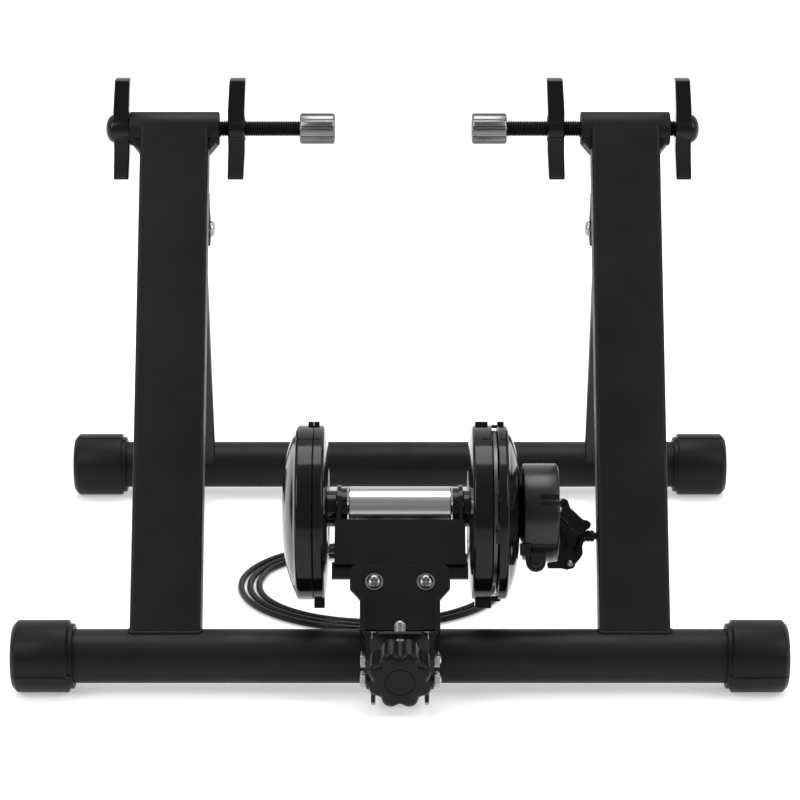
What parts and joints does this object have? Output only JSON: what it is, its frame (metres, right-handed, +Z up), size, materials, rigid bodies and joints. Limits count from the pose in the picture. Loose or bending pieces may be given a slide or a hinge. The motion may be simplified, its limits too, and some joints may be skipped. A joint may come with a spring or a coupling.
{
  "type": "folding bicycle turbo trainer",
  "caption": "Folding steel trainer stand with axle clamps and a tilting magnetic roller unit, a cable and a remote lever.",
  "frame": {"origin": "on the floor, under the middle of the whole trainer", "axes": "+Z up, +X to the brake side along the base tubes, +Y from the tension knob to the front base tube"},
  "size_m": [0.545, 0.5624, 0.399],
  "materials": {
    "frame_paint": "black powder coat, satin",
    "foot_rubber": "black moulded rubber, satin",
    "gloss_cover": "black moulded plastic, high gloss",
    "moulding": "black moulded plastic, satin",
    "zinc": "bright zinc plate",
    "polished_steel": "ground and polished steel",
    "black_steel": "black oxide",
    "iron": "turned iron",
    "rotor_alloy": "turned alloy",
    "magnet_steel": "nickel plate",
    "cable_sheath": "black sheath, satin"
  },
  "bodies": {
    "rear_frame": {"rear_base_tube": "frame_paint", "rear_foot_left": "foot_rubber", "rear_foot_right": "foot_rubber", "upright_left": "frame_paint", "upright_right": "frame_paint", "clamp_barrel_left": "frame_paint", "clamp_barrel_right": "frame_paint", "fold_bracket_left": "frame_paint", "fold_bracket_right": "frame_paint", "fold_bolt_left": "zinc", "fold_bolt_right": "zinc", "tension_bracket": "frame_paint", "cable_run": "cable_sheath", "cable_coil": "cable_sheath", "cable_tail": "cable_sheath", "remote_housing": "moulding", "remote_clamp_bolt": "zinc"},
    "front_frame": {"front_base_tube": "frame_paint", "front_foot_left": "foot_rubber", "front_foot_right": "foot_rubber", "front_leg_left": "frame_paint", "front_leg_right": "frame_paint"},
    "roller_unit": {"roller_bracket": "frame_paint", "pivot_bolt": "zinc", "slot_bolt": "zinc", "yoke": "frame_paint", "yoke_bolt_left": "zinc", "yoke_bolt_right": "zinc", "bearing_left": "polished_steel", "bearing_right": "polished_steel", "flywheel_cover_outer": "gloss_cover", "flywheel_cover_inner": "gloss_cover", "brake_cover_inner": "gloss_cover", "brake_cover_outer": "gloss_cover", "adjuster_housing": "moulding", "cable_box": "moulding", "box_screw_top": "zinc", "box_screw_low": "zinc"},
    "spinning_group": {"roller": "polished_steel", "roller_shaft": "zinc", "flywheel": "iron", "brake_rotor": "rotor_alloy"},
    "magnet_group": {"magnet_plate": "magnet_steel", "cable_pulley": "moulding"},
    "remote_lever_body": {"remote_lever": "moulding"},
    "push_pad_body": {"push_pad": "zinc"},
    "knob_body": {"tension_screw": "zinc", "tension_knob": "moulding"},
    "cup_left_body": {"axle_cup_left": "polished_steel"},
    "screw_left_body": {"clamp_screw_left": "black_steel", "clamp_handle_left": "moulding"},
    "lock_nut_left_body": {"lock_nut_left": "moulding"},
    "cup_right_body": {"axle_cup_right": "polished_steel"},
    "screw_right_body": {"clamp_screw_right": "black_steel", "clamp_handle_right": "moulding"},
    "lock_nut_right_body": {"lock_nut_right": "moulding"}
  },
  "joints": [
    {"name": "frame_fold", "type": "hinge", "parent": "rear_frame", "child": "front_frame", "pos_m": [0, 0.02088, 0.288], "axis": [1, 0, 0], "range_deg": [-68, 0]},
    {"name": "unit_tilt", "type": "hinge", "parent": "rear_frame", "child": "roller_unit", "pos_m": [0, -0.19212, 0.034], "axis": [1, 0, 0], "range_deg": [0, 65]},
    {"name": "roller_spin", "type": "hinge", "parent": "roller_unit", "child": "spinning_group", "pos_m": [0, -0.11328, 0.11772], "axis": [1, 0, 0], "continuous": true},
    {"name": "magnet_turn", "type": "hinge", "parent": "roller_unit", "child": "magnet_group", "pos_m": [0, -0.11328, 0.11772], "axis": [1, 0, 0], "range_deg": [0, 40]},
    {"name": "lever_turn", "type": "hinge", "parent": "rear_frame", "child": "remote_lever_body", "pos_m": [-0.008, 0.1, 0.0147], "axis": [0, -1, 0], "range_deg": [0, 100]},
    {"name": "push_slide", "type": "slide", "parent": "rear_frame", "child": "push_pad_body", "axis": [0, 0.9863, 0.165], "range_m": [-0.0171, 0]},
    {"name": "knob_turn", "type": "hinge", "parent": "push_pad_body", "child": "knob_body", "pos_m": [0, -0.20412, 0.0652], "axis": [0, 0.9863, 0.165], "range_deg": [-4902, 0]},
    {"name": "cup_left_slide", "type": "slide", "parent": "rear_frame", "child": "cup_left_body", "axis": [-1, 0, 0], "range_m": [0, 0.025]},
    {"name": "screw_left_turn", "type": "hinge", "parent": "cup_left_body", "child": "screw_left_body", "pos_m": [-0.14, 0.03588, 0.36], "axis": [-1, 0, 0], "range_deg": [0, 5143]},
    {"name": "lock_nut_left_slide", "type": "slide", "parent": "rear_frame", "child": "lock_nut_left_body", "axis": [-1, 0, 0], "range_m": [-0.01, 0.0061]},
    {"name": "cup_right_slide", "type": "slide", "parent": "rear_frame", "child": "cup_right_body", "axis": [1, 0, 0], "range_m": [-0.0037, 0.025]},
    {"name": "screw_right_turn", "type": "hinge", "parent": "cup_right_body", "child": "screw_right_body", "pos_m": [0.14, 0.03588, 0.36], "axis": [1, 0, 0], "range_deg": [-762, 5143]},
    {"name": "lock_nut_right_slide", "type": "slide", "parent": "rear_frame", "child": "lock_nut_right_body", "axis": [1, 0, 0], "range_m": [-0.0045, 0.0117]}
  ],
  "couplings": [
    {"joint": "lever_turn", "follows": "magnet_turn", "ratio": 2.5},
    {"joint": "push_slide", "follows": "unit_tilt", "m_per_rad": -0.015},
    {"joint": "knob_turn", "follows": "unit_tilt", "ratio": -75.398},
    {"joint": "screw_left_turn", "follows": "cup_left_slide", "rad_per_m": 3590.4},
    {"joint": "screw_right_turn", "follows": "cup_right_slide", "rad_per_m": 3590.4}
  ]
}
